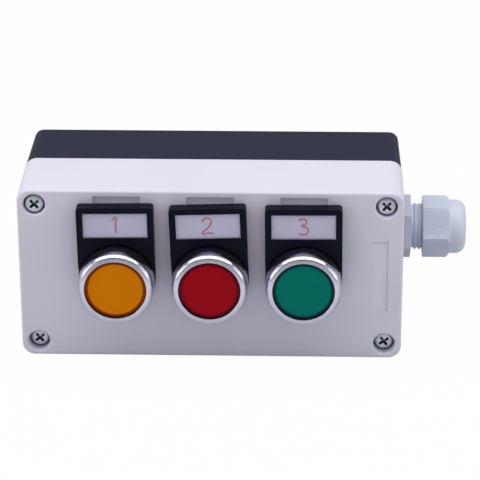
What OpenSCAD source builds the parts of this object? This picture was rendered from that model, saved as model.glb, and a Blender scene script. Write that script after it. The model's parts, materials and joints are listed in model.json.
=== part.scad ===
// Three-button control station: two-part moulded box, three flush pushbuttons with legend
// holders, and a cable gland in the right end.
// X runs along the box with the gland at +X, the buttons face -Y, +Z is up.
// The origin is the middle of the flat back face.

/* [Box] */
// Length of the cover along X
box_w = 150.6; // [145:0.2:165]
// Height of the cover along Z
box_h = 71.4; // [69:0.1:78]
// Depth of the cover from its front face to the parting line
cover_d = 32.5; // [30:0.5:38]
// Depth of the base from the parting line to the back face
base_d = 32.2; // [31.5:0.1:40]
// Wall of both shells
wall = 3; // [2.8:0.1:3.4]
// Thickness of the front panel, which the heads clamp
panel_t = 3; // [2.5:0.1:3.2]
// Radius of the cover's upright corners
cover_r = 5; // [4.5:0.1:5.5]
// Radius of the rounded edge round the front face
edge_r = 1; // [0.8:0.1:2]
// Step by which the base stands inside the cover at the seam, each side
base_inset = 0.2; // [0.1:0.1:0.6]
// Draft of the base from the seam to its back, each side
base_draft = 0.5; // [0.2:0.1:0.8]

/* [Cover screws] */
// Distance from the cover's left and right sides to the screws
screw_edge_x = 6.8; // [6.5:0.1:7.2]
// Distance from the cover's top and bottom sides to the screws
screw_edge_z = 6.2; // [6.1:0.1:6.7]
// Diameter of the counterbores
counterbore_dia = 8.6; // [8.2:0.1:9.4]
// Width of the chamfer round the counterbores
counterbore_rim = 0.6; // [0.3:0.1:0.8]
// Depth of the counterbores
counterbore_d = 6.2; // [5:0.1:7]
// Diameter of the pan heads
head_dia = 7.2; // [6.6:0.1:7.6]
// Height of the pan heads
head_h = 3.1; // [2.4:0.1:3.4]
// Thread diameter of the cover screws
screw_dia = 4; // [3.5:0.1:4.2]
// Length of the cover screws under the head
screw_len = 40; // [36:1:42]
// How far each screw is backed out: upper left, upper right, lower left, lower right
screw_lift = [2.3, 1.9, 0, 0.3];
// Turn of each screw's cross as fitted, in the same order, in degrees
screw_turn = [42, 47, 40, 36];

/* [Front recesses] */
// Depth of the recessed fields in the front face
recess_d = 0.35; // [0.2:0.05:0.6]
// Width of the field above each head
field_w = 18.4; // [12:0.1:22]
// Height of the field above each head
field_h = 6.4; // [4:0.1:8]
// Distance from the cover's top side to those fields
field_edge = 2.4; // [2.2:0.1:3.4]
// Width of the tall field at the right
tall_field_w = 6.4; // [4:0.1:7]
// Height of the tall field
tall_field_h = 30.2; // [20:0.1:40]
// Distance from the cover's right side to the middle of the tall field
tall_field_edge = 9; // [8.4:0.1:10]

/* [Heads] */
// Distance between neighbouring heads
pitch = 36.5; // [36:0.5:38]
// Diameter of the threaded bushings
bushing_dia = 22; // [21.6:0.1:22.2]
// Clearance round a bushing in the panel
hole_gap = 0.15; // [0.1:0.05:0.25]
// Outer diameter of the bezels
bezel_dia = 29.5; // [29:0.1:29.8]
// Height of the bezel's rim over the front panel
bezel_h = 14.8; // [13.8:0.1:15.2]
// Diameter of the opening in the bezel
opening_dia = 24.2; // [23.8:0.1:24.6]
// Depth of the lens face under the bezel's rim
lens_drop = 1; // [0.6:0.1:1.2]
// Diameter of the lens's raised face
lens_face_dia = 21.6; // [20:0.1:22.4]
// Travel of a button
travel = 4.5; // [4:0.1:4.6]

/* [Legend holders] */
// Width of a holder
holder_w = 30; // [30:0.1:31]
// Height of a holder's top edge over the head's axis
holder_top = 30.5; // [30:0.1:31]
// Thickness of a holder behind the bezel
holder_t = 3; // [2.8:0.1:3.2]
// Thickness of a holder's upper part
holder_front = 5; // [4.8:0.1:5.4]
// Width of the legend window
window_w = 25.3; // [23:0.1:26]
// Height of the legend window
window_h = 10.5; // [9:0.1:10.8]
// Frame above the window
window_rim = 2.3; // [2:0.1:2.4]
// How far each holder is turned as fitted, in degrees
holder_turn = [0.8, 1.9, 0.4];

/* [Contacts] */
// Width of a contact block
block_w = 22; // [21:0.5:24]
// Height of a contact block
block_h = 27; // [27:0.5:30]
// Depth of a contact block
block_d = 31; // [31:0.5:32]
// Which contact each head works: true opens when pressed
opens = [false, true, false];
// Travel of a bridge that closes
close_travel = 2.79; // [2.6:0.01:2.8]
// Travel of a bridge that opens
open_travel = 3.3; // [3.2:0.01:3.3]

/* [Gland] */
// Distance from the back face to the gland's axis
gland_back = 15.6; // [15:0.1:16.4]
// Diameter of the entry thread
entry_dia = 18.6; // [18:0.1:19]
// Width across the flats of the dome nut
nut_af = 22; // [22:0.1:22.6]
// Width across the flats of the body's hexagon
flange_af = 22.8; // [22:0.1:24]
// Turn of the body's hexagon as fitted, in degrees
flange_turn = 49; // [0:1:59]
// Thickness of the body's hexagon
flange_t = 3.9; // [3.5:0.1:4.6]
// Thickness of the sealing washer
washer_t = 0.8; // [0.6:0.1:1.2]
// Gap between the hexagon and the dome nut as fitted
nut_gap = 4.9; // [4.8:0.1:6]
// Travel of the dome nut along its thread
nut_travel = 4.2; // [3:0.1:4.4]
// Length of the dome nut's hexagon
nut_hex_l = 11.1; // [10:0.1:12]
// Length of the dome
dome_l = 6.4; // [6:0.1:7]
// Pitch of the dome nut's thread
nut_pitch = 1.8; // [1.6:0.1:2]
// Diameter of the hole through the seal
cable_dia = 10; // [8:0.1:10.4]

/* [Mounting] */
// Distance between the mounting holes along X
mount_span_x = 120; // [100:1:122]
// Distance between the mounting holes along Z
mount_span_z = 44; // [40:0.5:46]
// Diameter of the mounting holes
mount_dia = 4.5; // [4:0.1:5]

/* [Hidden] */
$fn = 64;
eps = 0.01;
box_d = cover_d + base_d;
colours = ["amber", "red", "green"];
lens_colours = ["#b96b00", "#850a14", "#006558"];
pale = "#b9b6c4";
dark = "#3e3f4c";
black = "#1b1c24";
silver = "#c4c4c8";
gland_grey = "#aab1c2";

// Seams between the shells
base_w = box_w - 2*base_inset;
base_h = box_h - 2*base_inset;
corner_step = 0.4;
base_r = cover_r - base_inset - corner_step;
tongue_t = 1.2;
tongue_h = 2;
tongue_gap = 0.1;
tongue_inset = 0.9;
gasket_t = 1.5;

// Screw posts and inserts
screw_x = box_w/2 - screw_edge_x;
screw_z = box_h/2 - screw_edge_z;
post_r = screw_edge_z - base_inset - base_draft - 0.2;
clear_r = screw_dia/2 + 0.2;
insert_r = 3;
insert_l = 8;
blind_d = screw_len + counterbore_d - cover_d + 3;
shank_gap = 0.08;
cross_l = 4.4;
cross_w = 1.1;
cross_d = 1.8;

// Head stack, as heights over the panel's front face
fit_gap = 0.08;
free_gap = 0.3;
bushing_r = bushing_dia/2;
bezel_r = bezel_dia/2;
opening_r = opening_dia/2;
shell_r = bezel_r - 1.35;
lip_t = 1;
rim_fall = 0.15;
rim_round = 0.8;
shoulder_w = 1.45;
shoulder_h = 1.9;
bushing_top = bezel_h - lip_t - 0.2;
floor_t = 1;
floor_z = holder_t + floor_t;
lens_top = bezel_h - lens_drop;
lens_r = opening_r - free_gap;
lens_t = 1.6;
lens_step = 0.7;
lens_edge = 0.3;
lens_wall = 1.2;
press_gap = 0.4;
lens_skirt = floor_z + travel + press_gap;
bore_r = 9;
piston_end = -2;
bushing_end = -14;
rear_wall = 2;
stem_r = 5;
lug_r = 6.2;
lug_z = bushing_end - 0.2;
stem_end = lug_z - 1.3;
spring_wire = 0.4;
spring_r = 7;
seal_t = 1.2;
seal_r = 13.4;
nut_z = -panel_t;
nut_t = 4.5;
ring_nut_af = 27;
thread_pitch = 1.5;

// Contact stack, as heights over the panel's front face
carrier_z = nut_z - nut_t - 0.1;
carrier_w = 28;
block_z = -18;
block_end = block_z - block_d;
slide_head_r = 5.5;
slide_head_t = 1.8;
slide_top = stem_end - 0.2;
neck = 7;
pit_z = slide_top - slide_head_t - travel - free_gap;
guide_end = pit_z - 2;
neck_end = -36;
cavity_end = block_end + 3;
cavity_x = 4;
cavity_y = 9.3;
bridge_z = -30.5;
bridge_t = 0.8;
bridge_l = 16;
bridge_w = 5;
pad_r = 1.5;
pad_t = 0.5;
pad_y = 6.8;
strip_t = 1;
strip_w = 7;
strip_y = 5;
strip_end = 13;
leg_t = 0.8;
contact_gap = 0.1;
ledge_z = bridge_z - bridge_t - pad_t - close_travel - contact_gap - pad_t;
terminal_y = 11.3;
terminal_r = 1.7;
terminal_l = 6;
terminal_head_r = 2;
terminal_head_t = 2;
terminal_slot = 0.8;
wire_gap = 1;
slide_spring_r = 2.6;
slide_wire = 0.35;
press_spring_r = 1.7;
press_wire = 0.2;
press_room = 3.4;

// Gland stack, as distances from the base's end wall
gland_y = -gland_back;
end_x = base_w/2;
flange_x = washer_t + flange_t;
nut_x = flange_x + nut_gap;
dome_x = nut_x + nut_hex_l;
tip_x = dome_x + dome_l;
crest_r = 9.5;
root_r = 8.7;
thread_end = nut_x + 7.1;
claw_end = thread_end + 3;
claw_r = 8.3;
claw_slot = 1;
gland_bore = 6;
pocket_r = 7;
pocket_x = nut_x - nut_travel + 1;
entry_end = -(wall + 6);
locknut_t = 5;
locknut_af = 24;

head_parts = ["lens", "plunger", "bezel", "bushing", "return_spring", "legend_holder", "legend_card",
              "legend_window", "panel_seal", "ring_nut", "contact_carrier", "contact_block",
              "contact_slide", "contact_bridge", "contact_springs", "fixed_contacts"];

// Frames: on the front face with z outwards and y up, and on the gland's axis with z outwards
module on_front() translate([0, -box_d, 0]) rotate([90, 0, 0]) children();
module at_head(i) on_front() translate([(i - 1)*pitch, 0, 0]) children();
module on_gland() translate([end_x, gland_y, 0]) rotate([0, 90, 0]) children();
module at_screws() for (x = [-1, 1], y = [-1, 1]) translate([x*screw_x, y*screw_z]) children();
module ring(r_out, r_in, h) difference() {
    cylinder(r = r_out, h = h);
    translate([0, 0, -1]) cylinder(r = r_in, h = h + 2);
}

// Rounded rectangle from squares and circles, so that its corners stay true arcs
module round_rect(w, h, r) {
    square([w - 2*r, h], center = true);
    square([w, h - 2*r], center = true);
    for (x = [-1, 1], y = [-1, 1]) translate([x*(w/2 - r), y*(h/2 - r)]) circle(r);
}

module rect_ring(w, h, r, t) difference() {
    round_rect(w, h, r);
    round_rect(w - 2*t, h - 2*t, r - t);
}

// What a rounding tool of radius f takes off an edge at the origin
module cove(f) difference() {
    translate([-f, -f]) square([f + 1, f + 1]);
    translate([-f, -f]) circle(f);
}

// Slab from z = -t to 0 with upright corners of radius r and an edge of radius f round its top
module round_slab(w, h, t, r, f) difference() {
    translate([0, 0, -t]) linear_extrude(t) round_rect(w, h, r);
    for (m = [0, 1]) {
        mirror([0, m, 0]) translate([-w/2 + r, h/2, 0]) rotate([90, 0, 90]) linear_extrude(w - 2*r) cove(f);
        mirror([m, 0, 0]) translate([w/2, h/2 - r, 0]) rotate([90, 0, 0]) linear_extrude(h - 2*r) cove(f);
    }
    for (m = [0, 1], n = [0, 1]) mirror([m, 0, 0]) mirror([0, n, 0]) translate([w/2 - r, h/2 - r, 0])
        rotate_extrude(angle = 90) translate([r, 0]) cove(f);
}

// Coil spring of round wire from z = 0 to h
module coil(r, wire, h, turns, steps = 14, sides = 6) {
    n = turns*steps;
    points = [for (k = [0:n], s = [0:sides - 1])
        let (a = 360*k/steps, b = 360*s/sides, q = r + wire*cos(b))
        [q*cos(a), q*sin(a), wire + (h - 2*wire)*k/n + wire*sin(b)]];
    skin = [for (k = [0:n - 1], s = [0:sides - 1]) let (t = (s + 1) % sides)
        [k*sides + s, k*sides + t, (k + 1)*sides + t, (k + 1)*sides + s]];
    polyhedron(points, concat(skin, [[for (s = [0:sides - 1]) sides - 1 - s]],
                              [[for (s = [0:sides - 1]) n*sides + s]]), convexity = 6);
}

// Triangular thread ridges from z0 to z1, drawn as rings
module ridges(root, crest, z0, z1, p) for (z = [z0 : p : z1 - p + eps]) translate([0, 0, z])
    rotate_extrude() polygon([[root - 1, 0], [root, 0], [crest, p*0.4], [crest, p*0.6], [root, p], [root - 1, p]]);

// Shells
module cover() color(pale) on_front() difference() {
    union() {
        difference() {
            round_slab(box_w, box_h, cover_d, cover_r, edge_r);
            translate([0, 0, -cover_d - 1]) linear_extrude(cover_d + 1 - panel_t)
                round_rect(box_w - 2*wall, box_h - 2*wall, cover_r - wall);
        }
        translate([0, 0, -cover_d]) at_screws() cylinder(r = post_r, h = cover_d - 1);
        for (x = [-1, 1]) translate([x*pitch/2 - 0.8, -box_h/2 + wall - 1, -panel_t - 4])
            cube([1.6, box_h - 2*wall + 2, 5]);
    }
    for (i = [-1 : 1]) translate([i*pitch, 0, -panel_t - 1]) cylinder(r = bushing_r + hole_gap, h = panel_t + 2);
    at_screws() {
        translate([0, 0, -counterbore_d]) cylinder(d = counterbore_dia, h = counterbore_d + 1);
        translate([0, 0, -counterbore_rim])
            cylinder(d1 = counterbore_dia, d2 = counterbore_dia + 4*counterbore_rim, h = 2*counterbore_rim);
        translate([0, 0, -cover_d - 1]) cylinder(r = clear_r, h = cover_d);
    }
    for (i = [-1 : 1]) translate([i*pitch - field_w/2, box_h/2 - field_edge - field_h, -recess_d])
        cube([field_w, field_h, recess_d + 1]);
    translate([box_w/2 - tall_field_edge - tall_field_w/2, -tall_field_h/2, -recess_d])
        cube([tall_field_w, tall_field_h, recess_d + 1]);
    translate([0, 0, -cover_d - 1]) linear_extrude(1 + tongue_h + gasket_t)
        rect_ring(box_w - 2*(tongue_inset - tongue_gap), box_h - 2*(tongue_inset - tongue_gap),
                  cover_r - tongue_inset + tongue_gap, tongue_t + 2*tongue_gap);
}

module base() color(dark) on_front() translate([0, 0, -box_d]) difference() {
    union() {
        difference() {
            hull() for (x = [-1, 1], y = [-1, 1]) translate([x*(base_w/2 - base_r), y*(base_h/2 - base_r)])
                cylinder(r1 = base_r - base_draft, r2 = base_r, h = base_d, $fn = 32);
            translate([0, 0, wall]) linear_extrude(base_d)
                round_rect(base_w - 2*wall, base_h - 2*wall, base_r - wall);
        }
        translate([0, 0, base_d - 1]) linear_extrude(1 + tongue_h)
            rect_ring(box_w - 2*tongue_inset, box_h - 2*tongue_inset, cover_r - tongue_inset, tongue_t);
        at_screws() translate([0, 0, 1]) cylinder(r = post_r, h = base_d - 1);
        at_mounts() cylinder(r = 5, h = wall + 2.5);
        translate([end_x - wall/2, 0, gland_back]) rotate([0, 90, 0]) cylinder(d = flange_af, h = wall/2);
        for (x = [-1, 1]) translate([x*pitch/2 - 0.8, -base_h/2 + 1, 1]) cube([1.6, base_h - 2, wall + 2]);
    }
    at_screws() {
        translate([0, 0, base_d - insert_l]) cylinder(r = insert_r, h = insert_l + 1);
        translate([0, 0, base_d - blind_d]) cylinder(r = clear_r, h = blind_d);
    }
    at_mounts() translate([0, 0, -1]) cylinder(d = mount_dia, h = wall + 5);
    translate([end_x - wall - 1, 0, gland_back]) rotate([0, 90, 0]) cylinder(d = entry_dia + 0.4, h = wall + 2);
}
module at_mounts() for (x = [-1, 1], y = [-1, 1]) translate([x*mount_span_x/2, y*mount_span_z/2]) children();

module cover_gasket() color("#26262a") on_front() translate([0, 0, -cover_d + tongue_h]) linear_extrude(gasket_t)
    rect_ring(box_w - 2*tongue_inset, box_h - 2*tongue_inset, cover_r - tongue_inset, tongue_t);

module cover_screws() color("#8c8d92") on_front() for (i = [0 : 3])
    translate([(i % 2*2 - 1)*screw_x, (1 - 2*floor(i/2))*screw_z, -counterbore_d + screw_lift[i]])
        pan_screw(screw_turn[i]);

module pan_screw(turn) {
    difference() {
        rotate_extrude() {
            square([head_dia/2 - 1, head_h]);
            square([head_dia/2, head_h - 1]);
            intersection() {
                translate([head_dia/2 - 1, head_h - 1]) circle(1);
                square([head_dia, head_h]);
            }
        }
        for (a = [0, 90]) rotate(turn + a) translate([-cross_l/2, -cross_w/2, head_h - cross_d])
            cube([cross_l, cross_w, cross_d + 1]);
    }
    translate([0, 0, -screw_len]) cylinder(r = screw_dia/2 - 0.3, h = screw_len + 0.5);
    ridges(screw_dia/2 - 0.3, screw_dia/2 - shank_gap, -screw_len, -screw_len + 14, 0.7);
}

module screw_inserts() color("#b08d4a") on_front() translate([0, 0, -cover_d - insert_l]) at_screws() difference() {
    cylinder(r = insert_r - 0.05, h = insert_l);
    translate([0, 0, -1]) cylinder(d = screw_dia, h = insert_l + 2);
    translate([0, 0, insert_l/2 - 0.5]) ring(insert_r + 1, insert_r - 0.6, 1);
}

// Head
module lens(i) color(lens_colours[i]) at_head(i) difference() {
    union() {
        translate([0, 0, lens_skirt]) cylinder(r = lens_r, h = lens_top - lens_step - lens_skirt);
        rotate_extrude() {
            translate([0, lens_top - 2*lens_step]) square([lens_face_dia/2 - lens_edge, 2*lens_step]);
            translate([0, lens_top - 2*lens_step]) square([lens_face_dia/2, 2*lens_step - lens_edge]);
            translate([lens_face_dia/2 - lens_edge, lens_top - lens_edge]) circle(lens_edge);
        }
    }
    translate([0, 0, lens_skirt - 1]) cylinder(r = lens_r - lens_wall, h = lens_top - lens_t - lens_skirt + 1);
}

module plunger(i) color(black) at_head(i) {
    translate([0, 0, lens_skirt + 0.3]) cylinder(r = lens_r - lens_wall - fit_gap, h = lens_top - lens_t - lens_skirt - 0.3);
    translate([0, 0, piston_end]) cylinder(r = bore_r - fit_gap, h = lens_skirt - piston_end + 0.5);
    translate([0, 0, stem_end]) cylinder(r = stem_r, h = piston_end - stem_end + 1);
    translate([0, 0, stem_end]) cylinder(r = lug_r, h = lug_z - stem_end);
}

// The rim is highest at the opening, falls a little outwards and then rounds down over a shoulder
module bezel(i) color(silver) at_head(i) rotate_extrude() difference() {
    upper = [bezel_r - shoulder_w, bezel_h - rim_fall - rim_round];
    lower = [bezel_r - rim_round, bezel_h - shoulder_h];
    slope = atan2(upper.y - lower.y, lower.x - upper.x);
    side = rim_round*[sin(slope), cos(slope)];
    union() {
        for (c = [upper, lower]) translate(c) circle(rim_round);
        polygon([[0, holder_t], [bezel_r, holder_t], [bezel_r, lower.y], lower + side, upper + side,
                 upper + [0, rim_round], [opening_r + 0.2, bezel_h], [opening_r, bezel_h - 0.2], [0, bezel_h - 0.2]]);
    }
    translate([-1, 0]) square([opening_r + 1, bezel_h + 1]);
    square([shell_r, bezel_h - lip_t]);
}

module bushing(i) color(black) at_head(i) {
    rotate_extrude() difference() {
        union() {
            translate([0, holder_t]) square([shell_r - 0.1, bushing_top - holder_t]);
            translate([0, bushing_end]) square([bushing_r - 0.7, holder_t - bushing_end + 0.5]);
            translate([0, -panel_t]) square([bushing_r, holder_t + panel_t + 0.5]);
        }
        translate([-1, floor_z]) square([opening_r + 1, bushing_top]);
        translate([-1, bushing_end + rear_wall]) square([bore_r + 1, bushing_top - bushing_end]);
        translate([-1, bushing_end - 1]) square([stem_r + 0.4 + 1, rear_wall + 2]);
    }
    ridges(bushing_r - 0.8, bushing_r, -panel_t - 7*thread_pitch, -panel_t, thread_pitch);
}

module return_spring(i) color("#9a9ca2") at_head(i)
    translate([0, 0, bushing_end + rear_wall]) coil(spring_r, spring_wire, piston_end - bushing_end - rear_wall, 5);

module panel_seal(i) color("#232327") at_head(i) ring(seal_r, bushing_r + 0.25, seal_t);

module ring_nut(i) color(black) at_head(i) translate([0, 0, nut_z - nut_t]) difference() {
    cylinder(d = ring_nut_af/cos(30), h = nut_t, $fn = 6);
    translate([0, 0, -1]) cylinder(r = bushing_r + fit_gap, h = nut_t + 2);
}

// Legend
module at_legend(i) at_head(i) rotate(holder_turn[i]) children();
window_y = holder_top - window_rim - window_h;
holder_low = 4;
holder_r = 1.3;
window_t = 0.8;
card_t = 0.4;
card_z = holder_front - window_t - card_t - 0.2;
module legend_holder(i) color(black) at_legend(i) difference() {
    union() {
        linear_extrude(holder_t) {
            circle(holder_w/2);
            translate([-holder_w/2, 0]) square([holder_w, holder_top/2]);
        }
        linear_extrude(holder_front) translate([0, (holder_low + holder_top)/2])
            round_rect(holder_w, holder_top - holder_low, holder_r);
    }
    translate([0, 0, holder_t]) cylinder(r = bezel_r + 0.5, h = holder_front);
    translate([0, 0, -1]) cylinder(r = bushing_r + free_gap, h = holder_t + 2);
    translate([0, 0, -1]) cylinder(r = seal_r + 0.1, h = 1 + seal_t);
    translate([-window_w/2, window_y, card_z]) cube([window_w, window_h, holder_front]);
}

module legend_plate(i, z, t, gap) at_legend(i) translate([-window_w/2 + gap, window_y + gap, z])
    cube([window_w - 2*gap, window_h - 2*gap, t]);
module legend_card(i) color("#dcdae2") legend_plate(i, card_z, card_t, 0.15);
module legend_window(i) color([0.9, 0.92, 0.95, 0.35]) legend_plate(i, card_z + card_t, window_t, 0.1);

// Contact
module contact_carrier(i) color("#2b2c31") at_head(i) {
    difference() {
        translate([0, 0, block_z]) linear_extrude(carrier_z - block_z) round_rect(carrier_w, carrier_w, 2);
        translate([0, 0, bushing_end - 0.1]) cylinder(r = bushing_r + fit_gap, h = carrier_z - bushing_end + 1);
        translate([0, 0, block_z - 1]) cylinder(r = lug_r + 1.3, h = bushing_end - block_z + 2);
    }
    for (x = [-1, 1]) translate([x*(block_w/2 + 0.9), 0, block_z]) {
        translate([-0.8, -4, -6]) cube([1.6, 8, 6.5]);
        translate([-0.8 - x*0.6, -4, -6]) cube([1.6, 8, 1.4]);
    }
}

module contact_block(i) color("#33343a") at_head(i) difference() {
    translate([-block_w/2, -block_h/2, block_end]) cube([block_w, block_h, block_d]);
    translate([0, 0, pit_z]) cylinder(r = lug_r + 0.8, h = block_z - pit_z + 1);
    translate([-neck/2 - free_gap, -neck/2 - free_gap, guide_end - 1])
        cube([neck + 2*free_gap, neck + 2*free_gap, pit_z - guide_end + 2]);
    translate([-cavity_x, -cavity_y, cavity_end]) cube([2*cavity_x, 2*cavity_y, guide_end - cavity_end]);
    for (m = [0, 1]) mirror([0, m, 0]) {
        translate([-cavity_x, cavity_y - 1, block_end - 1]) cube([2*cavity_x, block_h, ledge_z - block_end + 1]);
        translate([0, terminal_y, ledge_z - 1])
            cylinder(r = terminal_r + 0.1, h = terminal_l - strip_t - wire_gap + 1.5);
    }
    for (x = [-1, 1]) translate([x*block_w/2 - 0.7, -4.3, block_z - 6.3]) cube([1.4, 8.6, 2]);
}

// The window in the slide lets the bridge lag behind: in front of it where the contact closes,
// behind it where it opens
slide_lag = travel - close_travel;
slide_free = travel - open_travel;
module contact_slide(i) color("#d9d9d2") at_head(i) difference() {
    union() {
        translate([0, 0, slide_top - slide_head_t]) cylinder(r = slide_head_r, h = slide_head_t);
        translate([-neck/2, -neck/2, neck_end]) cube([neck, neck, slide_top - neck_end - 1]);
    }
    translate([-bridge_w/2 - 0.2, -neck, bridge_z - bridge_t - (opens[i] ? press_room : 0.1)])
        cube([bridge_w + 0.4, 2*neck, bridge_t + 0.1 + (opens[i] ? slide_free + press_room : slide_lag + 1.8)]);
}

module contact_bridge(i) color("#b9a06a") at_head(i) {
    translate([-bridge_w/2, -bridge_l/2, bridge_z - bridge_t]) cube([bridge_w, bridge_l, bridge_t]);
    for (y = [-1, 1]) translate([0, y*pad_y, opens[i] ? bridge_z : bridge_z - bridge_t - pad_t])
        cylinder(r = pad_r, h = pad_t);
}

// Slide return spring, and the small spring that presses the bridge onto its contacts
module contact_springs(i) color("#9a9ca2") at_head(i) {
    translate([0, 0, cavity_end]) coil(slide_spring_r, slide_wire, neck_end - cavity_end, 5, 12);
    translate([0, 0, opens[i] ? bridge_z - bridge_t - press_room : bridge_z])
        coil(press_spring_r, press_wire, opens[i] ? press_room : slide_lag + 1.8, 3, 10);
}

module fixed_contacts(i) color("#b9a06a") at_head(i) for (m = [0, 1]) mirror([0, m, 0]) difference() {
    union() {
        if (opens[i]) {
            translate([-strip_w/2, strip_y, bridge_z + pad_t + contact_gap + pad_t])
                cube([strip_w, cavity_y - 0.1 - strip_y, strip_t]);
            translate([-strip_w/2, cavity_y - 0.1 - leg_t, ledge_z - strip_t])
                cube([strip_w, leg_t, bridge_z + 2*pad_t + contact_gap + strip_t - ledge_z + strip_t]);
            translate([-strip_w/2, cavity_y - 0.1 - leg_t, ledge_z - strip_t])
                cube([strip_w, strip_end - cavity_y + 0.1 + leg_t, strip_t]);
            translate([0, pad_y, bridge_z + pad_t + contact_gap]) cylinder(r = pad_r, h = pad_t + 0.2);
        } else {
            translate([-strip_w/2, strip_y, ledge_z - strip_t]) cube([strip_w, strip_end - strip_y, strip_t]);
            translate([0, pad_y, ledge_z - 0.2]) cylinder(r = pad_r, h = pad_t + 0.2);
        }
    }
    translate([0, terminal_y, ledge_z - strip_t - 1]) cylinder(r = terminal_r + 0.1, h = strip_t + 2);
}

module terminal_screws() color("#9b9ca1") for (i = [0 : 2]) at_head(i) for (y = [-1, 1])
    translate([0, y*terminal_y, ledge_z - strip_t - wire_gap]) difference() {
        union() {
            cylinder(r = terminal_r, h = terminal_l);
            translate([0, 0, -terminal_head_t]) cylinder(r = terminal_head_r, h = terminal_head_t);
        }
        translate([-terminal_head_r - 1, -terminal_slot/2, -terminal_head_t - 1])
            cube([2*terminal_head_r + 2, terminal_slot, terminal_slot + 1]);
    }

// Gland
module gland_washer() color("#4a4b52") on_gland() ring(flange_af/2 - 0.2, entry_dia/2 + 0.1, washer_t);

module gland_body() color(gland_grey) on_gland() difference() {
    union() {
        translate([0, 0, entry_end]) cylinder(d = entry_dia - 1, h = washer_t - entry_end + 0.5);
        ridges(entry_dia/2 - 0.6, entry_dia/2, entry_end, washer_t, 1.4);
        rotate(180 + flange_turn) translate([0, 0, washer_t]) cylinder(d = flange_af/cos(30), h = flange_t, $fn = 6);
        translate([0, 0, flange_x - 0.5]) cylinder(r = root_r, h = thread_end - flange_x + 0.5);
        ridges(root_r - 0.1, crest_r, flange_x + 1, thread_end, nut_pitch);
        translate([0, 0, thread_end - 0.5]) cylinder(r = claw_r, h = claw_end - thread_end + 0.5);
    }
    translate([0, 0, entry_end - 1]) cylinder(r = gland_bore, h = claw_end - entry_end + 2);
    translate([0, 0, pocket_x]) cylinder(r = pocket_r, h = claw_end);
    for (a = [0 : 45 : 135]) rotate(a) translate([-crest_r, -claw_slot/2, thread_end + 0.3])
        cube([2*crest_r, claw_slot, claw_end - thread_end]);
}

module gland_locknut() color(gland_grey) on_gland() translate([0, 0, -wall - locknut_t]) difference() {
    cylinder(d = locknut_af/cos(30), h = locknut_t, $fn = 6);
    translate([0, 0, -1]) cylinder(r = entry_dia/2 + 0.1, h = locknut_t + 2);
}

seal_start = pocket_x + nut_travel + 0.3;
module gland_seal() color("#2a2b30") on_gland() rotate_extrude() difference() {
    union() {
        translate([0, seal_start]) square([pocket_r - free_gap, claw_end + nut_travel - seal_start]);
        translate([0, seal_start]) square([cable_dia/2 + 1.2, tip_x - 1.9 - seal_start]);
    }
    translate([-1, 0]) square([cable_dia/2 + 1, tip_x + 5]);
}

dome_r = nut_af/2 - 0.05;
dome_round = 4;
nut_bore_end = thread_end + nut_travel + free_gap;
rib_count = 12;
rib_pitch = 0.8;
rib_d = 0.2;
// Fine grooves along the six flats of the nut, as triangles just off each flat
module flat_grooves() for (k = [0 : 5], j = [0 : rib_count - 1]) rotate(60*k)
    translate([nut_af/2, (j - (rib_count - 1)/2)*rib_pitch]) polygon([[-rib_d, 0], [0.3, -0.5], [0.3, 0.5]]);

module gland_nut() color(gland_grey) on_gland() difference() {
    union() {
        intersection() {
            rotate(30) translate([0, 0, nut_x]) cylinder(d = nut_af/cos(30), h = nut_hex_l, $fn = 6);
            rotate_extrude() polygon([[0, nut_x - 1], [20, nut_x - 1], [20, dome_x - 7.6], [nut_af/2, dome_x],
                                      [nut_af/2, dome_x + 1], [0, dome_x + 1]]);
        }
        rotate_extrude() {
            translate([0, dome_x - 1]) square([dome_r, dome_l - dome_round + 1]);
            translate([0, dome_x - 1]) square([dome_r - dome_round, dome_l + 1]);
            intersection() {
                translate([dome_r - dome_round, tip_x - dome_round]) circle(dome_round);
                translate([0, dome_x]) square([20, dome_l]);
            }
        }
    }
    translate([0, 0, nut_x - 1]) linear_extrude(nut_hex_l - 0.8 + 1) flat_grooves();
    rotate_extrude() polygon([[0, nut_x - 1], [crest_r + 0.15, nut_x - 1], [crest_r + 0.15, nut_bore_end],
                              [claw_r + 0.4, nut_bore_end + 0.9], [claw_r + 0.4, claw_end + nut_travel],
                              [cable_dia/2 + 1.5, tip_x - 1.8], [cable_dia/2 + 0.6, tip_x - 1.8],
                              [cable_dia/2 + 0.6, tip_x + 1], [0, tip_x + 1]]);
}

cover();
base();
cover_gasket();
cover_screws();
screw_inserts();
terminal_screws();
gland_washer();
gland_body();
gland_locknut();
gland_seal();
gland_nut();
for (i = [0 : 2]) {
    lens(i);
    plunger(i);
    bezel(i);
    bushing(i);
    return_spring(i);
    legend_holder(i);
    legend_card(i);
    legend_window(i);
    panel_seal(i);
    ring_nut(i);
    contact_carrier(i);
    contact_block(i);
    contact_slide(i);
    contact_bridge(i);
    contact_springs(i);
    fixed_contacts(i);
}
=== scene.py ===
# Pushbutton control station: finishes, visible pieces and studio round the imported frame
import json
import math
import bmesh
import bpy
from mathutils import Matrix, Vector

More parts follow.
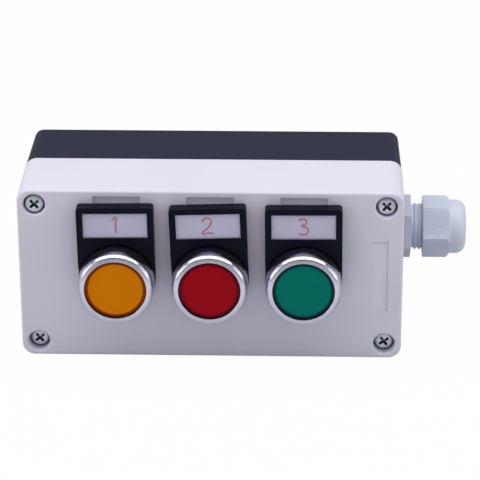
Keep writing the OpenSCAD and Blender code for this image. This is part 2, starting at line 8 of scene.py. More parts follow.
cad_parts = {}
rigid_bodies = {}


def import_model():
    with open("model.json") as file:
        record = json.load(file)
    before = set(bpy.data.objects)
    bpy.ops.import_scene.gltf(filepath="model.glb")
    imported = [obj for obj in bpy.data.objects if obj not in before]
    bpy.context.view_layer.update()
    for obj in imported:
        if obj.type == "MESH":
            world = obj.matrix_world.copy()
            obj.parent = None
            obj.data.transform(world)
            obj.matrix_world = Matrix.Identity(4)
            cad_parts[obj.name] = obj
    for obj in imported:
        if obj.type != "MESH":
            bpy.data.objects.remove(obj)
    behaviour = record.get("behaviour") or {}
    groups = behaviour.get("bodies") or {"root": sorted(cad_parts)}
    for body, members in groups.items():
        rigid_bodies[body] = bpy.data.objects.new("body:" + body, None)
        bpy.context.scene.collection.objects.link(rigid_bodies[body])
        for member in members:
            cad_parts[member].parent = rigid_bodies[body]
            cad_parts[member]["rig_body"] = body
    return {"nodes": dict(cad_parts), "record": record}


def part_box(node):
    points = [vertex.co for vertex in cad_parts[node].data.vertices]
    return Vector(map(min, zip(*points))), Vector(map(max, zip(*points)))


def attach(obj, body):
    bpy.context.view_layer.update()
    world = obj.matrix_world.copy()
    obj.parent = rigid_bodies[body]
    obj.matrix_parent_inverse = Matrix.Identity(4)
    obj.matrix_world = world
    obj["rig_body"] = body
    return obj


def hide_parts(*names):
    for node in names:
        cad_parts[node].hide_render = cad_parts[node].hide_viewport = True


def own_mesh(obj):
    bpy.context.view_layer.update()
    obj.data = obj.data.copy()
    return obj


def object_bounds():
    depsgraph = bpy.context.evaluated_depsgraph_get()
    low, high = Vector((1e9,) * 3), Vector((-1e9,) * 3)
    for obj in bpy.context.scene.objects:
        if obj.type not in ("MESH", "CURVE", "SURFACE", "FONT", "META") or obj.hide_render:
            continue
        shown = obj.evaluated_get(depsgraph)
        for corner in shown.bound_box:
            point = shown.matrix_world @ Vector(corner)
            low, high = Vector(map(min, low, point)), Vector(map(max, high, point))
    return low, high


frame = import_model()
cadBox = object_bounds()
cadNodes = frame["nodes"]
slotOfNode = {part["node"]: part["material_slot"] for part in frame["record"]["subparts"]}
mm = 0.001
onPlane = 0.01 * mm  # a point this near to a plane lies on it
mergeNear = 0.002 * mm  # vertices this near to each other are one
tiny = 0.001 * mm  # a length that counts as none


def middleOf(nodeName):
    low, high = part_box(nodeName)
    return (low + high) / 2


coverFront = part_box("cover")[0].y
headNames = ["amber", "red", "green"]
headCentres = {name: middleOf(name + "_bezel") for name in headNames}
print("frame loaded:", len(cadNodes), "nodes")

photoCamera = {
    "place": (0.03779, -0.87786, 0.41588),  # from the middle of the cover's front face
    "yaw": -1.712,
    "pitch": 24.516,
    "roll": -0.193,
    "lens": 185.76,
    "sensor": 36.0,
    "clip": (0.05, 20),
}


def makeCamera(spec):
    lens = bpy.data.cameras.new("studioCamera")
    lens.sensor_width = spec["sensor"]
    lens.lens = spec["lens"]
    lens.clip_start, lens.clip_end = spec["clip"]
    camera = bpy.data.objects.new("studioCamera", lens)
    turn = Matrix.Rotation(math.radians(-spec["yaw"]), 4, "Z")
    tilt = Matrix.Rotation(math.radians(90 - spec["pitch"]), 4, "X")
    lean = Matrix.Rotation(math.radians(spec["roll"]), 4, "Z")
    frontMiddle = Matrix.Translation((0, coverFront, 0))
    camera.matrix_world = frontMiddle @ Matrix.Translation(spec["place"]) @ turn @ tilt @ lean
    bpy.context.scene.collection.objects.link(camera)
    bpy.context.scene.camera = camera


makeCamera(photoCamera)


# Shader maths: a signal is one node output, and Python's operators add the Math nodes
class Signal:
    def __init__(self, finish, socket):
        self.finish = finish
        self.socket = socket

    def __add__(self, other):
        return self.finish.maths("ADD", self, other)

    def __radd__(self, other):
        return self.finish.maths("ADD", other, self)

    def __sub__(self, other):
        return self.finish.maths("SUBTRACT", self, other)

    def __rsub__(self, other):
        return self.finish.maths("SUBTRACT", other, self)

    def __mul__(self, other):
        return self.finish.maths("MULTIPLY", self, other)

    def __rmul__(self, other):
        return self.finish.maths("MULTIPLY", other, self)

    # Another output of the same node
    def beside(self, name):
        return Signal(self.finish, self.socket.node.outputs[name])


# Levels of a noise at which a change of colour starts and ends, and one of gloss
noiseBand = (0.3, 0.7)
glossBand = (0.25, 0.75)


class Finish:
    sockets = {"colour": "Base Color", "roughness": "Roughness", "metal": "Metallic",
               "alpha": "Alpha", "specular": "Specular IOR Level"}

    def __init__(self, owner, shader="Principled BSDF", output="Material Output"):
        self.owner = owner
        owner.use_nodes = True
        self.tree = owner.node_tree
        self.shader = self.tree.nodes[shader]
        self.output = self.tree.nodes[output]

    def node(self, kind, settings=None, sockets=None, out=0):
        made = self.tree.nodes.new("ShaderNode" + kind)
        for key, value in (settings or {}).items():
            if key == "stops":
                self.setStops(made.color_ramp.elements, value)
            else:
                setattr(made, key, value)
        for key, value in (sockets or {}).items():
            self.feed(made.inputs[key], value)
        return Signal(self, made.outputs[out])

    def setStops(self, elements, stops):
        while len(elements) < len(stops):
            elements.new(0.5)  # its place is set below
        for element, (place, level) in zip(elements, stops):
            element.position = place
            element.color = (level, level, level, 1)

    def feed(self, socket, value):
        if isinstance(value, Signal):
            self.tree.links.new(value.socket, socket)
        else:
            socket.default_value = value

    def maths(self, operation, *values):
        return self.node("Math", {"operation": operation}, dict(enumerate(values)))

    # A Mix node's sockets for colours come after those for numbers and vectors
    def mix(self, share, first, second):
        return self.node("Mix", {"data_type": "RGBA"}, {0: share, 6: first, 7: second}, out=2)

    def place(self, centre=(0, 0, 0), scale=(1, 1, 1)):
        coords = self.node("TexCoord", out="Object")
        back = tuple(-c * s for c, s in zip(centre, scale))
        return self.node("Mapping", sockets={"Vector": coords, "Location": back, "Scale": scale})

    # Distance from an axis that runs out of the front panel
    def fromAxis(self, centre):
        away = self.place(centre=centre, scale=(1, 0, 1))
        return self.node("VectorMath", {"operation": "LENGTH"}, {0: away}, out="Value")

    def noise(self, vector, scale, detail=2.0, roughness=0.5):
        return self.node("TexNoise", sockets={"Vector": vector, "Scale": scale, "Detail": detail,
                                              "Roughness": roughness})

    def between(self, signal, low, high, start=0.0, end=1.0):
        return self.node("MapRange", {"clamp": True},
                         {"Value": signal, "From Min": low, "From Max": high,
                          "To Min": start, "To Max": end})

    # Two colours that follow a noise
    def clouded(self, noise, first, second, band=noiseBand):
        return self.mix(self.between(noise, *band), first, second)

    def bump(self, height, distance):
        normal = self.node("Bump", sockets={"Height": height, "Distance": distance,
                                            "Strength": 1.0})
        self.feed(self.shader.inputs["Normal"], normal)

    def surface(self, **values):
        for key, value in values.items():
            self.feed(self.shader.inputs[self.sockets[key]], value)


def newFinish(name):
    return Finish(bpy.data.materials.new(name))


# A colour from its 0 to 255 values on the screen
def tint(red, green, blue):
    parts = [c / 255 for c in (red, green, blue)]
    linear = [c / 12.92 if c <= 0.04045 else ((c + 0.055) / 1.055) ** 2.4 for c in parts]
    return (*linear, 1.0)


def shade(colour, factor):
    return (*(c * factor for c in colour[:3]), 1.0)


moulding = {
    "cloudScale": 22,
    "cloudDetail": 3,
    "grainSize": 0.28,  # of the spark-eroded mould, in millimetres
    "grainDetail": 2,
    "grainRoughness": 0.65,
    "glossSpread": 0.05,
}


# Moulded plastic: fine grain, faint clouding and a little unevenness of gloss
def mouldedPlastic(name, colour, roughness, specular=0.5, grainDepth=0.012, cloud=0.035):
    finish = newFinish(name)
    here = finish.place()
    clouds = finish.noise(here, moulding["cloudScale"], moulding["cloudDetail"])
    grains = finish.noise(here, 1 / (moulding["grainSize"] * mm), moulding["grainDetail"],
                          moulding["grainRoughness"])
    dark, bright = shade(colour, 1 - cloud), shade(colour, 1 + cloud)
    spread = moulding["glossSpread"]
    finish.surface(colour=finish.clouded(clouds, dark, bright),
                   roughness=finish.between(grains, *glossBand, roughness - spread,
                                            roughness + spread),
                   specular=specular)
    finish.bump(grains, grainDepth * mm)
    return finish.owner


plating = {
    "patchDetail": 4,
    "patchRoughness": 0.6,
    "shades": (0.86, 1.06),
    "glossSpread": 0.08,
    "grainScale": 2500,
    "grainDepth": 0.004,
}


# Metal: plated or drawn, with mottling in its gloss
def platedMetal(name, colour, roughness, mottle, streak=(1, 1, 1)):
    finish = newFinish(name)
    here = finish.place(scale=streak)
    patches = finish.noise(here, mottle, plating["patchDetail"], plating["patchRoughness"])
    dark, bright = (shade(colour, factor) for factor in plating["shades"])
    spread = plating["glossSpread"]
    finish.surface(colour=finish.clouded(patches, dark, bright),
                   roughness=finish.between(patches, *glossBand, roughness - spread,
                                            roughness + spread),
                   metal=1.0)
    finish.bump(finish.noise(here, plating["grainScale"]), plating["grainDepth"] * mm)
    return finish.owner


screwHeads = {
    "colours": (tint(190, 193, 205), tint(222, 225, 237)),
    "radius": 3.6,
    "dome": 0.02,  # fall of the head per square millimetre of its radius squared
    "mottle": 700,
    "mottleDetail": 4,
    "mottleRoughness": 0.6,
    "mottleDepth": 0.02,
    "gloss": (0.42, 0.56),
    "metal": 0.85,
}
screwLow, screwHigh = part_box("cover_screws")
inward = screwHeads["radius"] * mm
screwEnds = (
    (screwLow.x + inward, screwHigh.x - inward),
    (screwLow.z + inward, screwHigh.z - inward),
)
screwPlaces = [(x, z) for x in screwEnds[0] for z in screwEnds[1]]


def nearScrew(point, reach):
    return any(math.hypot(point.x - x, point.z - z) < reach * mm for x, z in screwPlaces)


# Square of the distance from the nearest screw's axis, in square millimetres
def squareFromScrew(finish):
    across = finish.node("SeparateXYZ", sockets={0: finish.place(scale=(1 / mm, 1 / mm, 1 / mm))})
    total = 0.0
    for signal, ends in zip((across, across.beside("Z")), screwEnds):
        middle, half = (ends[0] + ends[1]) / 2 / mm, (ends[1] - ends[0]) / 2 / mm
        away = finish.maths("ABSOLUTE", signal - middle) - half
        total = away * away + total
    return total


def screwZinc(name):
    finish = newFinish(name)
    patches = finish.noise(finish.place(), screwHeads["mottle"], screwHeads["mottleDetail"],
                           screwHeads["mottleRoughness"])
    finish.surface(colour=finish.clouded(patches, *screwHeads["colours"]),
                   roughness=finish.between(patches, *glossBand, *screwHeads["gloss"]),
                   metal=screwHeads["metal"])
    dome = squareFromScrew(finish) * -screwHeads["dome"]
    finish.bump(dome + patches * screwHeads["mottleDepth"], mm)
    return finish.owner


# Painted shade on the walls inside each screw's cross, and painted light in its middle
crosses = {
    "paintedWallShades": (tint(62, 65, 78), tint(80, 84, 98)),
    "paintedMiddleLight": tint(168, 174, 190),
    "middle": (0.35, 0.9),  # painted light in the paler middle fades out between these radii
    "reach": 2.3,
    "shadeDepths": (0.35, 2.2),  # under the head's top, where the painted shade starts and ends
    "mottle": 900,
    "roughness": 0.45,
    "metal": 0.6,
    "grainDepth": 0.01,
}


# Material of painted shade for the cross's walls, fading to painted light in its middle
def crossPaintedShadeAndLight(name):
    finish = newFinish(name)
    patches = finish.noise(finish.place(), crosses["mottle"], detail=3)
    start, end = (radius * radius for radius in crosses["middle"])
    middle = finish.between(squareFromScrew(finish), start, end, 1.0, 0.0)
    walls = finish.clouded(patches, *crosses["paintedWallShades"])
    finish.surface(colour=finish.mix(middle, walls, crosses["paintedMiddleLight"]),
                   roughness=crosses["roughness"], metal=crosses["metal"])
    finish.bump(patches, crosses["grainDepth"] * mm)
    return finish.owner


turning = {
    "colour": tint(202, 201, 219),
    "shades": (0.95, 1.03),
    "mottle": 300,
    "pitch": 0.13,
    "depth": 0.003,
    "gloss": (0.18, 0.23),
}


# Satin chrome over a turned face: fine rings round the head's own axis
def turnedChrome(name, centre):
    finish = newFinish(name)
    rings = finish.maths("SINE", finish.fromAxis(centre) * (math.tau / (turning["pitch"] * mm)))
    patches = finish.noise(finish.place(), turning["mottle"], detail=3)
    dark, bright = (shade(turning["colour"], factor) for factor in turning["shades"])
    finish.surface(colour=finish.clouded(patches, dark, bright),
                   roughness=finish.between(patches, *glossBand, *turning["gloss"]), metal=1.0)
    finish.bump(rings, turning["depth"] * mm)
    return finish.owner


rubber = {
    "specks": 3200,
    "speckDepth": 0.01,
    "bloom": 90,
    "bloomBand": (0.35, 0.7),
    "bloomShade": 1.35,
    "gloss": (0.62, 0.78),
    "specular": 0.3,
}


def rubberFinish(name, colour):
    finish = newFinish(name)
    here = finish.place()
    specks = finish.noise(here, rubber["specks"])
    bloom = finish.noise(here, rubber["bloom"], detail=3)
    finish.surface(colour=finish.clouded(bloom, colour, shade(colour, rubber["bloomShade"]),
                                         rubber["bloomBand"]),
                   roughness=finish.between(specks, *noiseBand, *rubber["gloss"]),
                   specular=rubber["specular"])
    finish.bump(specks, rubber["speckDepth"] * mm)
    return finish.owner


lensFinish = {
    "rim": (10.72, 10.86),  # where the face's colour changes to the ring's painted shade
    "halo": (6, 10.6),  # painted light: the face grows a little lighter between these radii
    "haloShade": 1.08,
    "haloShare": 0.5,
    "clouds": 60,
    "cloudShades": (0.97, 1.03),
    "grain": 2600,
    "grainDepth": 0.003,
    "roughness": 0.42,
    "specular": 0.04,
}


# Lens: translucent colour, with painted shade on the ring past the edge of its raised face and
# painted light towards the face's edge
def lensPlastic(name, face, rim, centre):
    finish = newFinish(name)
    radius = finish.fromAxis(centre)
    outside = finish.between(radius, *(edge * mm for edge in lensFinish["rim"]))
    # painted light on the face towards its edge
    halo = finish.between(radius, *(edge * mm for edge in lensFinish["halo"]))
    here = finish.place()
    clouds = finish.noise(here, lensFinish["clouds"])
    dark, bright = (shade(face, factor) for factor in lensFinish["cloudShades"])
    body = finish.mix(halo * lensFinish["haloShare"], finish.clouded(clouds, dark, bright),
                      shade(face, lensFinish["haloShade"]))
    finish.surface(colour=finish.mix(outside, body, rim), roughness=lensFinish["roughness"],
                   specular=lensFinish["specular"])
    finish.bump(finish.noise(here, lensFinish["grain"], detail=1), lensFinish["grainDepth"] * mm)
    return finish.owner


paper = {
    "colours": (tint(184, 182, 211), tint(194, 192, 220)),
    "fibres": 1500,
    "along": (1, 1, 3),
    "fibreDetail": 4,
    "fibreRoughness": 0.7,
    "fibreDepth": 0.008,
    "roughness": 0.8,
    "specular": 0.2,
}


def cardPaper(name):
    finish = newFinish(name)
    fibres = finish.noise(finish.place(scale=paper["along"]), paper["fibres"], paper["fibreDetail"],
                          paper["fibreRoughness"])
    finish.surface(colour=finish.clouded(fibres, *paper["colours"]),
                   roughness=paper["roughness"], specular=paper["specular"])
    finish.bump(fibres, paper["fibreDepth"] * mm)
    return finish.owner


window = {
    "colour": tint(226, 226, 240),
    "smears": 120,
    "gloss": (0.06, 0.14),
    "opacity": 0.1,
    "paintedHighlightOpacity": 0.62,
    "smearOpacity": 0.03,
    "specular": 0.5,
}


def clearPlastic(name, opacity):
    finish = newFinish(name)
    smears = finish.noise(finish.place(), window["smears"], detail=3)
    finish.surface(colour=window["colour"],
                   roughness=finish.between(smears, *noiseBand, *window["gloss"]),
                   alpha=finish.between(smears, *noiseBand, opacity,
                                        opacity + window["smearOpacity"]),
                   specular=window["specular"])
    return finish.owner


pen = {
    "colours": (tint(168, 0, 42), tint(190, 8, 62)),
    "flow": 900,
    "flowBand": (0.3, 0.75),
    "roughness": 0.5,
}


def penInk(name):
    finish = newFinish(name)
    flow = finish.noise(finish.place(), pen["flow"])
    finish.surface(colour=finish.clouded(flow, *pen["colours"], pen["flowBand"]),
                   roughness=pen["roughness"])
    return finish.owner


# Face and ring of each lens; the ring's darker colour is painted shade
lensColours = {
    "amber": (tint(208, 118, 0), tint(163, 74, 25)),
    "red": (tint(151, 8, 24), tint(118, 34, 44)),
    "green": (tint(0, 111, 100), tint(32, 75, 86)),
}
finishes = {
    "cover_grey": mouldedPlastic("coverPlastic", tint(205, 202, 221), roughness=0.55,
                                 specular=0.25),
    "base_dark": mouldedPlastic("basePlastic", tint(39, 42, 61), roughness=0.6, specular=0.12,
                                grainDepth=0.02, cloud=0.06),
    "rubber": rubberFinish("blackRubber", tint(28, 28, 32)),
    "zinc_steel": screwZinc("zincPlate"),
    "insert_brass": platedMetal("turnedBrass", tint(196, 160, 96), roughness=0.32, mottle=500),
    "gland_grey": mouldedPlastic("glandNylon", tint(190, 198, 219), roughness=0.4, specular=0.35,
                                 grainDepth=0.006, cloud=0.03),
    "black_plastic": mouldedPlastic("blackPlastic", tint(15, 17, 30), roughness=0.35,
                                    specular=0.06, grainDepth=0.004, cloud=0.1),
    "block_plastic": mouldedPlastic("contactBlockPlastic", tint(52, 52, 58), roughness=0.5),
    "white_plastic": mouldedPlastic("slidePlastic", tint(222, 222, 214), roughness=0.45),
    "contact_brass": platedMetal("contactBrass", tint(202, 176, 116), roughness=0.3, mottle=400,
                                 streak=(1, 1, 6)),
    "spring_steel": platedMetal("springWire", tint(176, 178, 184), roughness=0.28, mottle=700),
    "card": cardPaper("legendCard"),
    "clear_plastic": clearPlastic("legendWindow", window["opacity"]),
}
for headName, (face, rim) in lensColours.items():
    finishes[headName + "_lens"] = lensPlastic(headName + "Lens", face, rim, headCentres[headName])
chrome = {name: turnedChrome(name + "Chrome", centre) for name, centre in headCentres.items()}
finishes["bezel_chrome"] = chrome["red"]
ink = penInk("redInk")
# A paler, more opaque copy of the clear plastic for the pane's bevelled edges: painted highlight
windowEdge = clearPlastic("legendWindowPaintedHighlight", window["paintedHighlightOpacity"])
crossShadeAndLightFinish = crossPaintedShadeAndLight("crossPaintedShadeAndLight")
print("finishes made for", len(finishes), "slots")

for nodeName, cadNode in cadNodes.items():
    cadNode.data.materials.clear()
    cadNode.data.materials.append(finishes[slotOfNode[nodeName]])


def addPiece(name, bm, body, slot, replaced=(), material=None, extra=(), angle=32,
             evenNormals=False):
    bmesh.ops.remove_doubles(bm, verts=bm.verts, dist=tiny)
    mesh = bpy.data.meshes.new(name)
    bm.to_mesh(mesh)
    bm.free()
    for polygon in mesh.polygons:
        polygon.use_smooth = True
    mesh.set_sharp_from_angle(angle=math.radians(angle))
    for added in (material or finishes[slot], *extra):
        mesh.materials.append(added)
    piece = bpy.data.objects.new(name, mesh)
    bpy.context.scene.collection.objects.link(piece)
    if evenNormals:
        even = piece.modifiers.new("evenNormals", "WEIGHTED_NORMAL")
        even.keep_sharp = True
    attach(piece, body)
    if replaced:
        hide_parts(*replaced)
    return piece


def bevelEdges(bm, edges, radius, segments):
    return bmesh.ops.bevel(bm, geom=edges, offset=radius * mm, offset_type="OFFSET",
                           segments=segments, profile=0.5, affect="EDGES", material=-1,
                           clamp_overlap=True)


def sharpEdges(bm, angle):
    return [e for e in bm.edges
            if len(e.link_faces) == 2 and e.calc_face_angle() > math.radians(angle)]


def onFront(edge, front):
    return all(v.co.y < front + onPlane for v in edge.verts)


# A CAD node's own mesh, merged and with its flat faces whole
def cadCopy(nodeName, flatAngle=0.4):
    bm = bmesh.new()
    bm.from_mesh(cadNodes[nodeName].data)
    bmesh.ops.remove_doubles(bm, verts=bm.verts, dist=mergeNear)
    bmesh.ops.dissolve_limit(bm, angle_limit=math.radians(flatAngle), verts=bm.verts,
                             edges=bm.edges)
    return bm


coverDetail = {
    "paintedFieldLightColour": tint(211, 208, 228),
    "rimRadius": 5.0,  # outside the counterbore's chamfer
    "rimRounding": 0.3,
    "outlineAngle": 60,
    "outlineRounding": 0.07,
    "fieldDepth": 0.35,  # depth of the recessed fields in the CAD model
    "upperFields": 25.5,  # the fields over the heads lie higher than this
    "upperDeeper": 0.5,
    "tallDeeper": 0.3,
}
# A lighter copy of the cover plastic for the tall field's floor: painted light
paintedLightFieldFloor = mouldedPlastic("fieldPlasticPaintedLight", coverDetail["paintedFieldLightColour"], roughness=0.55,
                            specular=0.25)
softAngle = 28  # edges sharper than this are rounded


# Rims and outlines on the cover's front are rounded, its fields sink a little deeper, and the tall
# field's floor gets painted light
def detailCover(bm, nodeName):
    rimRadius = coverDetail["rimRadius"]
    rims = [e for e in sharpEdges(bm, softAngle)
            if onFront(e, coverFront) and all(nearScrew(v.co, rimRadius) for v in e.verts)]
    bevelEdges(bm, rims, coverDetail["rimRounding"], segments=3)
    outlines = [e for e in sharpEdges(bm, coverDetail["outlineAngle"]) if onFront(e, coverFront)]
    bevelEdges(bm, outlines, coverDetail["outlineRounding"], segments=1)
    level = coverFront + coverDetail["fieldDepth"] * mm
    floors = [f for f in bm.faces if all(abs(v.co.y - level) < onPlane for v in f.verts)]
    for floor in floors:
        tall = floor.calc_center_median().z < coverDetail["upperFields"] * mm
        deeper = coverDetail["tallDeeper" if tall else "upperDeeper"]
        bmesh.ops.translate(bm, verts=floor.verts[:], vec=(0, deeper * mm, 0))
        # the tall field's floor takes the lighter copy: painted light
        floor.material_index = 1 if tall else 0
    print("recessed fields found:", len(floors))


holderEdges = {
    "outer": 0.42,
    "others": 0.12,
    "clearOfBezel": 15.7,
}


# The edge round a holder's front, but not those of its window and of its pocket for the bezel
def detailHolder(bm, nodeName):
    head = headCentres[nodeName.split("_")[0]]
    windowMiddle = middleOf(nodeName.replace("holder", "window"))
    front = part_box(nodeName)[0].y
    rim = []
    for edge in sharpEdges(bm, softAngle):
        middle = (edge.verts[0].co + edge.verts[1].co) / 2
        fromHead = math.hypot(middle.x - head.x, middle.z - head.z)
        walls = [f for f in edge.link_faces if abs(f.normal.y) < 0.5]  # not the front itself
        outward = all(f.normal.dot(middle - windowMiddle) > -tiny for f in walls)
        if onFront(edge, front) and fromHead > holderEdges["clearOfBezel"] * mm and outward:
            rim.append(edge)
    bevelEdges(bm, rim, holderEdges["outer"], segments=4)


# The faces inside each screw's cross take the painted shade and light
def paintCrossShadeAndLight(bm):
    start, end = (depth * mm for depth in crosses["shadeDepths"])
    for x, z in screwPlaces:
        inside = []
        for face in bm.faces:
            middle = face.calc_center_median()
            if math.hypot(middle.x - x, middle.z - z) < crosses["reach"] * mm:
                inside.append(face)
        headTop = min(v.co.y for f in inside for v in f.verts)
        for face in inside:
            if start < face.calc_center_median().y - headTop < end:
                face.material_index = 1


# Sharp moulded or machined edges of a CAD node get the small radius that the real ones have
def soften(nodeName, name, radius, before=None, after=None, extra=()):
    bm = cadCopy(nodeName)
    if before:
        before(bm, nodeName)
    bevelEdges(bm, sharpEdges(bm, softAngle), radius, segments=2)
    if after:
        after(bm)
    addPiece(name, bm, cadNodes[nodeName]["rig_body"], slotOfNode[nodeName], (nodeName,),
             extra=extra, evenNormals=True)


softened = {
    "cover": {"name": "coverShell", "radius": 0.18, "before": detailCover,
              "extra": (paintedLightFieldFloor,)},
    "base": {"name": "baseShell", "radius": 0.3},
    "gland_body": {"name": "glandBody", "radius": 0.12},
    "gland_nut": {"name": "glandNut", "radius": 0.05},
    "gland_washer": {"name": "glandWasher", "radius": 0.12},
    "cover_screws": {"name": "coverScrews", "radius": 0.08, "after": paintCrossShadeAndLight,
                     "extra": (crossShadeAndLightFinish,)},
}
for nodeName, settings in softened.items():
    soften(nodeName, **settings)
for headName in headNames:
    soften(headName + "_legend_holder", headName + "LegendHolder", holderEdges["others"],
           before=detailHolder)
print("edges softened")


# Turned parts: an outline of (radius, height, rounding) is rounded at its corners and spun
def spinOutline(outline, segments, steps=144):
    bm = bmesh.new()
    corners = [bm.verts.new((radius * mm, 0, height * mm)) for radius, height, rounding in outline]
    bm.faces.new(corners)
    for corner, (radius, height, rounding) in zip(corners, outline):
        if rounding:
            bmesh.ops.bevel(bm, geom=[corner], offset=rounding * mm, offset_type="OFFSET",
                            segments=segments, profile=0.5, affect="VERTICES", material=-1,
                            clamp_overlap=False)
    bmesh.ops.spin(bm, geom=bm.verts[:] + bm.edges[:], cent=(0, 0, 0), axis=(0, 0, 1),
                   angle=math.tau, steps=steps, use_merge=True, use_duplicate=False)
    outlineFaces = [f for f in bm.faces if len(f.verts) > 4]
    bmesh.ops.delete(bm, geom=outlineFaces, context="FACES_ONLY")
    bmesh.ops.remove_doubles(bm, verts=bm.verts, dist=mergeNear)
    bmesh.ops.dissolve_degenerate(bm, edges=bm.edges, dist=tiny)
    bmesh.ops.recalc_face_normals(bm, faces=bm.faces)
    return bm


# From a spun piece's own axes, with height outwards, to its place on the front panel
def ontoPanel(bm, centre):
    place = Matrix.Translation((centre.x, coverFront, centre.z))
    bmesh.ops.transform(bm, matrix=place @ Matrix.Rotation(math.pi / 2, 4, "X"), verts=bm.verts)


# Radius, height over the panel and rounding: the rim falls outwards and turns over a shoulder
bezelShape = [
    (12.1, 13.8, 0.05), (12.1, 14.8, 0.22), (13.75, 14.58, 0.55), (14.75, 13.14, 0.55),
    (14.75, 3.0, 0.15), (13.4, 3.0, 0), (13.4, 13.8, 0),
]
# A raised face in a lower ring, over a skirt
lensShape = [
    (0, 13.8, 0), (10.8, 13.8, 0.3), (10.84, 13.1, 0.06), (12.02, 13.1, 0.06),
    (12.02, 8.9, 0), (10.6, 8.9, 0), (10.6, 12.2, 0), (0, 12.2, 0),
]
for headName in headNames:
    bezel = spinOutline(bezelShape, segments=6)
    ontoPanel(bezel, headCentres[headName])
    addPiece(headName + "Bezel", bezel, "station", "bezel_chrome", (headName + "_bezel",),
             material=chrome[headName], angle=60)
    lens = spinOutline(lensShape, segments=4)
    ontoPanel(lens, headCentres[headName])
    addPiece(headName + "Lens", lens, headName + "_button", headName + "_lens",
             (headName + "_lens",), angle=50)
print("bezels and lenses turned")


legend = {
    "windowGap": 0.12,  # between card and window, where the ink lies
    "windowEdge": 0.3,
    "cardEdge": 0.08,
    "penWidth": 0.68,
    "penRoundness": 2,
    "penSteps": 10,  # between two points of a stroke
    "inkDepth": 0.05,
    "digitHeight": 6.6,
    "slant": 4,
}
# Pen strokes on a square of side 1, from its lower left corner
digitStrokes = {
    "amber": [[(0.34, 0.80), (0.46, 0.90), (0.55, 1.0), (0.54, 0.55), (0.52, 0.0)]],
    "red": [[(0.20, 0.76), (0.30, 0.95), (0.52, 1.0), (0.70, 0.86), (0.66, 0.62), (0.44, 0.34),
             (0.16, 0.03), (0.46, 0.06), (0.82, 0.0)]],
    "green": [[(0.22, 0.90), (0.42, 1.0), (0.66, 0.90), (0.64, 0.68), (0.40, 0.55), (0.66, 0.46),
               (0.74, 0.22), (0.52, 0.0), (0.20, 0.08)]],
}


# A node's own plate, cut back behind and with its front edges bevelled
def bevelledPlate(nodeName, edge, cutBehind=0.0):
    bm = cadCopy(nodeName, flatAngle=1)
    low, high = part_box(nodeName)
    for vert in bm.verts:
        if vert.co.y > (low.y + high.y) / 2:
            vert.co.y -= cutBehind * mm
    frontEdges = [e for e in bm.edges if onFront(e, low.y)]
    for face in bevelEdges(bm, frontEdges, edge, segments=1)["faces"]:
        face.material_index = 1
    return bm


# Pen strokes: a bevelled curve, pressed flat, on the card's front
def penDigit(strokes, centre, cardFront):
    curve = bpy.data.curves.new("strokes", "CURVE")
    curve.dimensions = "3D"
    curve.bevel_depth = legend["penWidth"] / 2 * mm
    curve.bevel_resolution = legend["penRoundness"]
    curve.resolution_u = legend["penSteps"]
    curve.use_fill_caps = True
    size = legend["digitHeight"] * mm
    for stroke in strokes:
        spline = curve.splines.new("BEZIER")
        spline.bezier_points.add(len(stroke) - 1)
        for point, (across, up) in zip(spline.bezier_points, stroke):
            point.co = ((across - 0.5) * size, (up - 0.5) * size, 0)
            point.handle_left_type = point.handle_right_type = "AUTO"
    helper = bpy.data.objects.new("strokes", curve)
    mesh = bpy.data.meshes.new_from_object(helper)
    bm = bmesh.new()
    bm.from_mesh(mesh)
    bpy.data.objects.remove(helper)
    flat = Matrix.Scale(legend["inkDepth"] / legend["penWidth"], 4, (0, 0, 1))
    upright = Matrix.Rotation(math.pi / 2, 4, "X")
    lean = Matrix.Rotation(math.radians(legend["slant"]), 4, "Z")
    onCard = Matrix.Translation((centre.x, cardFront - legend["inkDepth"] / 2 * mm, centre.z))
    bmesh.ops.transform(bm, matrix=onCard @ upright @ lean @ flat, verts=bm.verts)
    return bm


for headName in headNames:
    cardName, windowName = headName + "_legend_card", headName + "_legend_window"
    addPiece(headName + "LegendCard", bevelledPlate(cardName, legend["cardEdge"]), "station",
             "card", (cardName,), extra=(finishes["card"],))
    # The pane's bevelled edges take the painted highlight
    pane = bevelledPlate(windowName, legend["windowEdge"], legend["windowGap"])
    addPiece(headName + "LegendWindow", pane, "station", "clear_plastic", (windowName,),
             extra=(windowEdge,))
    digit = penDigit(digitStrokes[headName], middleOf(cardName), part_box(cardName)[0].y)
    addPiece(headName + "LegendDigit", digit, "station", "card", material=ink)
print("legends written")


# Radii between which each coil lies, to tell those of one node apart
coils = {
    "return": (6.0, 8.0),
    "slide": (2.1, 4.0),
    "bridge": (0.0, 2.1),
}
joints = frame["record"]["behaviour"]["joints"]
travels = {joint["name"]: joint["range_m"][1] for joint in joints if "range_m" in joint}


# A coil cut from a node's own mesh; one that the button's travel would shorten gets a mesh of its
# own
def addSpring(headName, nodeName, name, radii, body, shorter):
    bm = bmesh.new()
    bm.from_mesh(cadNodes[nodeName].data)
    head = headCentres[headName]
    near, far = (radius * mm for radius in radii)
    others = [v for v in bm.verts if not near < math.hypot(v.co.x - head.x, v.co.z - head.z) < far]
    bmesh.ops.delete(bm, geom=others, context="VERTS")
    ends = (min(v.co.y for v in bm.verts), max(v.co.y for v in bm.verts))
    spring = addPiece(name, bm, body, "spring_steel", (nodeName,), angle=80)
    if shorter > 0:
        headName + "_press"
        1 - shorter / (ends[1] - ends[0])
        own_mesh(spring)


for headName in headNames:
    pressed, carried = travels[headName + "_press"], travels[headName + "_bridge_move"]
    inner = headName + "_contact_springs"
    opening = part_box(inner)[0].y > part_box(headName + "_contact_bridge")[0].y
    addSpring(headName, headName + "_return_spring", headName + "ReturnSpring", coils["return"],
              "station", pressed)
    addSpring(headName, inner, headName + "SlideSpring", coils["slide"], "station", pressed)
    addSpring(headName, inner, headName + "BridgeSpring", coils["bridge"], headName + "_slide",
              0 if opening else pressed - carried)
print("springs wound")


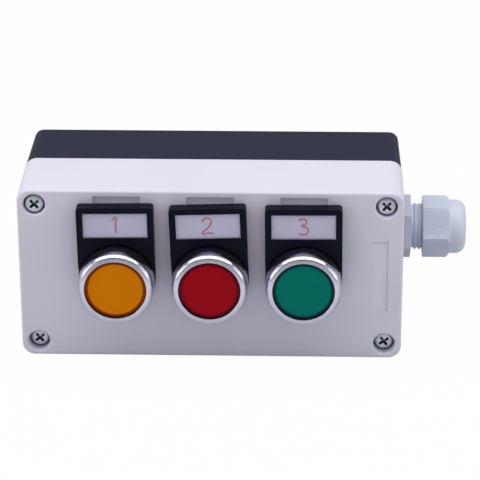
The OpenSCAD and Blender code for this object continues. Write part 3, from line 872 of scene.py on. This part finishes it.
studio = {
    "floorSize": 6.0,
    "floorShade": (0.66, 0.66, 0.67, 1),
    "floorRoughness": 0.9,
    "floorSpecular": 0.1,
    "floorGlow": 0.97,  # share of white that the camera sees over the floor's own shade
    "skyLevel": 0.32,
    "ceilingLevel": 0.06,
    "horizonBand": (8, 20),  # degrees over the horizon where the white fades out
    # Brightness of the floor in gloss, by metres before the part's back
    "sheen": [(0.0, 0.6), (0.11, 0.72), (0.145, 1.0), (0.19, 1.0), (0.25, 0.33), (0.3, 0.15),
              (1.0, 0.12)],
    "target": (0, -0.05, 0),
    # Power, place, size and colour
    "softboxes": {
        "keySoftbox": (18.0, (0.0, -0.12, 1.0), (2.4, 1.1), (1.0, 0.99, 0.93)),
        "leftSoftbox": (2.1, (-0.9, -0.35, 0.25), (0.6, 0.6), (1, 1, 1)),
        "rightSoftbox": (1.6, (0.9, -0.35, 0.25), (0.6, 0.6), (1, 1, 1)),
    },
}


# Which rays see the background itself: those of the camera, through glass, and off gloss
def rayKinds(finish):
    direct = finish.node("LightPath")
    return direct + direct.beside("Is Transmission Ray"), direct.beside("Is Glossy Ray")


def makeFloor(spec):
    bm = bmesh.new()
    bmesh.ops.create_grid(bm, x_segments=1, y_segments=1, size=spec["floorSize"] / 2)
    bmesh.ops.translate(bm, verts=bm.verts, vec=(0, 0, cadBox[0].z))
    mesh = bpy.data.meshes.new("studioFloor")
    bm.to_mesh(mesh)
    bm.free()
    floor = bpy.data.objects.new("studioFloor", mesh)
    bpy.context.scene.collection.objects.link(floor)
    finish = newFinish("studioFloor")
    finish.surface(colour=spec["floorShade"], roughness=spec["floorRoughness"],
                   specular=spec["floorSpecular"])
    finish.owner.cycles.emission_sampling = "NONE"
    glow = finish.node("Emission", sockets={"Color": (1, 1, 1, 1)})
    seen, glossy = rayKinds(finish)
    coords = finish.node("TexCoord", out="Object")
    forward = finish.node("SeparateXYZ", sockets={0: coords}, out="Y") * -1
    sheen = finish.node("ValToRGB", {"stops": spec["sheen"]}, {"Fac": forward})
    finish.feed(glow.socket.node.inputs["Strength"], seen + glossy * sheen)
    blend = finish.node("MixShader", sockets={0: seen * spec["floorGlow"] + glossy, 2: glow})
    finish.tree.links.new(finish.shader.outputs[0], blend.socket.node.inputs[1])
    finish.tree.links.new(blend.socket, finish.output.inputs[0])
    mesh.materials.append(finish.owner)


# White round the horizon, with a dim ceiling over it that only gloss shows
def makeWorld(spec):
    world = bpy.data.worlds.new("studioWorld")
    bpy.context.scene.world = world
    finish = Finish(world, "Background", "World Output")
    seen, glossy = rayKinds(finish)
    direction = finish.node("TexCoord", out="Generated")
    upward = finish.node("SeparateXYZ", sockets={0: direction}, out="Z")
    low, high = (math.sin(math.radians(angle)) for angle in spec["horizonBand"])
    reflected = finish.between(upward, low, high, 1.0, spec["ceilingLevel"])
    level = seen + glossy * reflected + (1 - seen - glossy) * spec["skyLevel"]
    finish.feed(finish.shader.inputs["Color"], (1, 1, 1, 1))
    finish.feed(finish.shader.inputs["Strength"], level)


def addSoftbox(name, target, power, place, size, colour):
    light = bpy.data.lights.new(name, "AREA")
    light.color = colour
    light.shape = "RECTANGLE"
    light.size, light.size_y = size
    light.energy = power
    lamp = bpy.data.objects.new(name, light)
    aim = (Vector(place) - Vector(target)).to_track_quat("Z", "Y")
    lamp.matrix_world = Matrix.Translation(place) @ aim.to_matrix().to_4x4()
    bpy.context.scene.collection.objects.link(lamp)


makeFloor(studio)
makeWorld(studio)
for lampName, settings in studio["softboxes"].items():
    addSoftbox(lampName, studio["target"], *settings)
bpy.context.scene.view_settings.view_transform = "Standard"
print("studio built")
